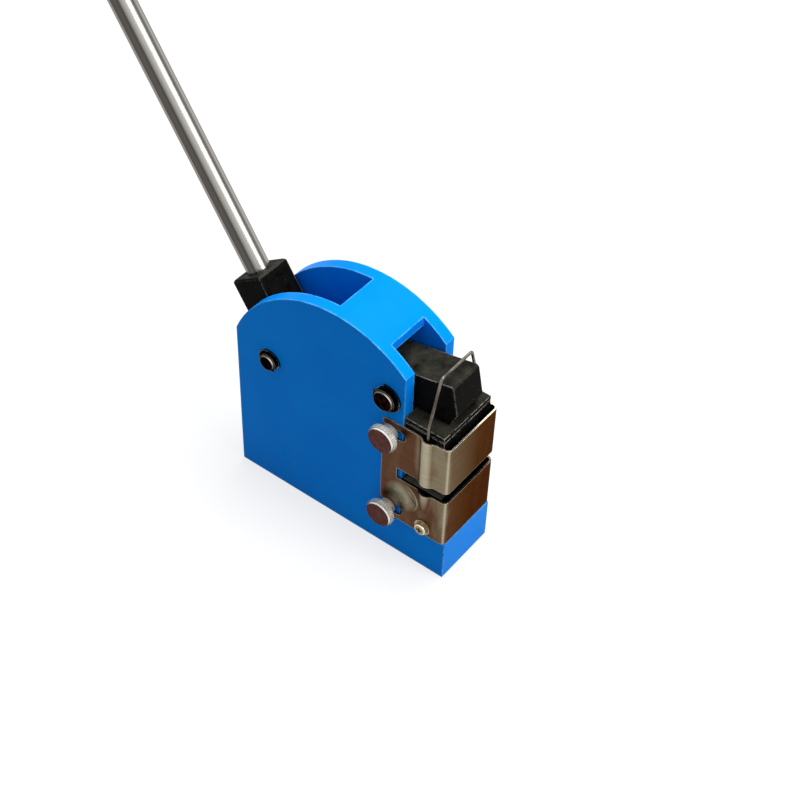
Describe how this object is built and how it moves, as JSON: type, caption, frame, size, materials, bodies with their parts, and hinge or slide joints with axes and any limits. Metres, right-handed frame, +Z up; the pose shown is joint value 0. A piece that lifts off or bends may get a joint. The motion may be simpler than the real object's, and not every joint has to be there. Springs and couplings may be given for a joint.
{
  "type": "sheet edge shrinker",
  "caption": "Bench machine that shrinks sheet metal edges: a long lever and a rocker arm press a clipped stack of sliding serrated jaws.",
  "frame": {"origin": "centre of the base face of the casting, on the surface it stands on", "axes": "+X forward to the jaws, +Z up, Y across the cheeks; the middle plane is Y = 0 and the side seen nearest in the picture is -Y"},
  "size_m": [0.3642, 0.0726, 0.4435],
  "materials": {
    "blue_paint": "semi-gloss enamel",
    "black_steel": "blackened, satin",
    "polished_steel": "ground and polished",
    "clip_steel": "brushed sheet",
    "tool_steel": "hardened, ground",
    "spring_steel": "bright wire",
    "nickel": "plated",
    "zinc_yellow": "zinc plated, yellowish",
    "bronze": "plain",
    "grip_rubber": "matt"
  },
  "bodies": {
    "frame": {"frame_casting": "blue_paint", "rear_pin": "black_steel", "front_pin": "black_steel", "rear_pin_clips": "black_steel", "front_pin_clips": "black_steel", "rear_spacers": "bronze", "front_spacers": "bronze", "lower_holder": "black_steel", "lower_jaw_springs": "spring_steel", "jaw_clip": "clip_steel", "clip_screws": "zinc_yellow", "spring_washers": "zinc_yellow", "flat_washers": "zinc_yellow"},
    "lever": {"socket_block": "black_steel", "lever_rod": "polished_steel", "hand_grip": "grip_rubber"},
    "rocker": {"rocker_arm": "black_steel"},
    "upper_stack": {"upper_holder": "black_steel", "upper_jaw_springs": "spring_steel", "wire_bail": "spring_steel"},
    "upper_jaw_left": {"upper_jaw_left": "tool_steel"},
    "upper_jaw_right": {"upper_jaw_right": "tool_steel"},
    "lower_jaw_left": {"lower_jaw_left": "tool_steel"},
    "lower_jaw_right": {"lower_jaw_right": "tool_steel"},
    "thumb_upper_left": {"thumb_screw_upper_left": "nickel"},
    "thumb_upper_right": {"thumb_screw_upper_right": "nickel"},
    "thumb_lower_left": {"thumb_screw_lower_left": "nickel"},
    "thumb_lower_right": {"thumb_screw_lower_right": "nickel"}
  },
  "joints": [
    {"name": "lever_turn", "type": "hinge", "parent": "frame", "child": "lever", "pos_m": [-0.05615, 0, 0.1071], "axis": [0, -1, 0], "range_deg": [0, 40]},
    {"name": "rocker_turn", "type": "hinge", "parent": "frame", "child": "rocker", "pos_m": [0.03575, 0, 0.1316], "axis": [0, 1, 0], "range_deg": [0, 11.2]},
    {"name": "stack_slide", "type": "slide", "parent": "frame", "child": "upper_stack", "axis": [0, 0, -1], "range_m": [0, 0.0072]},
    {"name": "upper_left_jaw_slide", "type": "slide", "parent": "upper_stack", "child": "upper_jaw_left", "axis": [0, 0.9063, 0.4226], "range_m": [0, 0.0013], "stiffness_N_per_m": 400, "springref_m": -0.005, "deforming": ["upper_jaw_springs"]},
    {"name": "upper_right_jaw_slide", "type": "slide", "parent": "upper_stack", "child": "upper_jaw_right", "axis": [0, -0.9063, 0.4226], "range_m": [0, 0.0013], "stiffness_N_per_m": 400, "springref_m": -0.005, "deforming": ["upper_jaw_springs"]},
    {"name": "lower_left_jaw_slide", "type": "slide", "parent": "frame", "child": "lower_jaw_left", "axis": [0, 0.9063, -0.4226], "range_m": [0, 0.0013], "stiffness_N_per_m": 400, "springref_m": -0.005, "deforming": ["lower_jaw_springs"]},
    {"name": "lower_right_jaw_slide", "type": "slide", "parent": "frame", "child": "lower_jaw_right", "axis": [0, -0.9063, -0.4226], "range_m": [0, 0.0013], "stiffness_N_per_m": 400, "springref_m": -0.005, "deforming": ["lower_jaw_springs"]},
    {"name": "upper_left_thumb_turn", "type": "hinge", "parent": "frame", "child": "thumb_upper_left", "pos_m": [0.04025, -0.03, 0.107], "axis": [0, -1, 0], "range_deg": [0, 360]},
    {"name": "upper_right_thumb_turn", "type": "hinge", "parent": "frame", "child": "thumb_upper_right", "pos_m": [0.04025, 0.03, 0.107], "axis": [0, 1, 0], "range_deg": [0, 360]},
    {"name": "lower_left_thumb_turn", "type": "hinge", "parent": "frame", "child": "thumb_lower_left", "pos_m": [0.04025, -0.03, 0.0403], "axis": [0, -1, 0], "range_deg": [0, 360]},
    {"name": "lower_right_thumb_turn", "type": "hinge", "parent": "frame", "child": "thumb_lower_right", "pos_m": [0.04025, 0.03, 0.0403], "axis": [0, 1, 0], "range_deg": [0, 360]}
  ],
  "couplings": [
    {"joint": "rocker_turn", "follows": "lever_turn", "ratio": 0.27759},
    {"joint": "stack_slide", "follows": "lever_turn", "m_per_rad": 0.01026}
  ]
}
